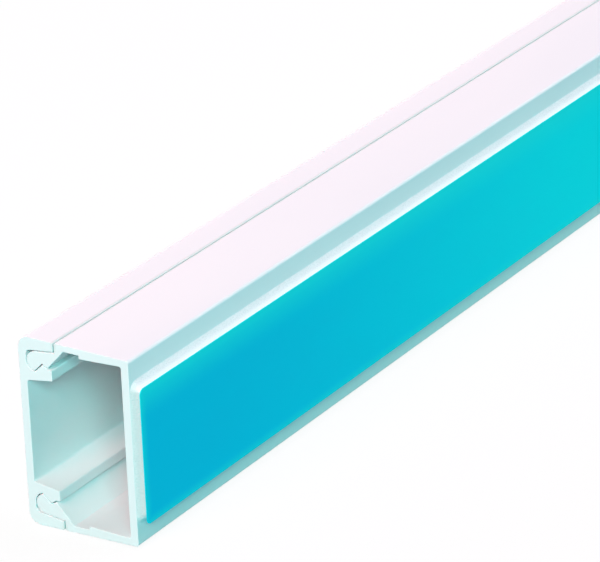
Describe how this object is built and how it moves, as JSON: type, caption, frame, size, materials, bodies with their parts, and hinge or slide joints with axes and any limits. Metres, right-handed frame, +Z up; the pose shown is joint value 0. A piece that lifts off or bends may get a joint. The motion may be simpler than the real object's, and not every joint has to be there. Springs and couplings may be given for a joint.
{
  "type": "cord cover raceway",
  "caption": "Self-adhesive cord cover raceway: a slim plastic trough with a clip-on lid that hides and guides cables, backed by foam tape under a peel-off liner.",
  "frame": {"origin": "On the floor, under the middle of the part's bounding box, with the raceway standing on one narrow side.", "axes": "+X along the raceway's length, +Y out of the lid's face, -Y out of the adhesive back, +Z up across the width."},
  "size_m": [0.4, 0.0172, 0.025],
  "materials": {
    "pvc": "smooth extruded white PVC, satin",
    "foam": "white closed-cell foam, matt, with cut edges",
    "liner_film": "blue siliconised film, smooth, slightly glossy"
  },
  "bodies": {
    "base": {"base": "pvc", "foam_tape": "foam", "release_liner": "liner_film"},
    "lid": {"lid": "pvc"}
  },
  "joints": [
    {"name": "lid_slide", "type": "slide", "parent": "base", "child": "lid", "axis": [1, 0, 0], "range_m": [-0.3, 0.3]}
  ]
}
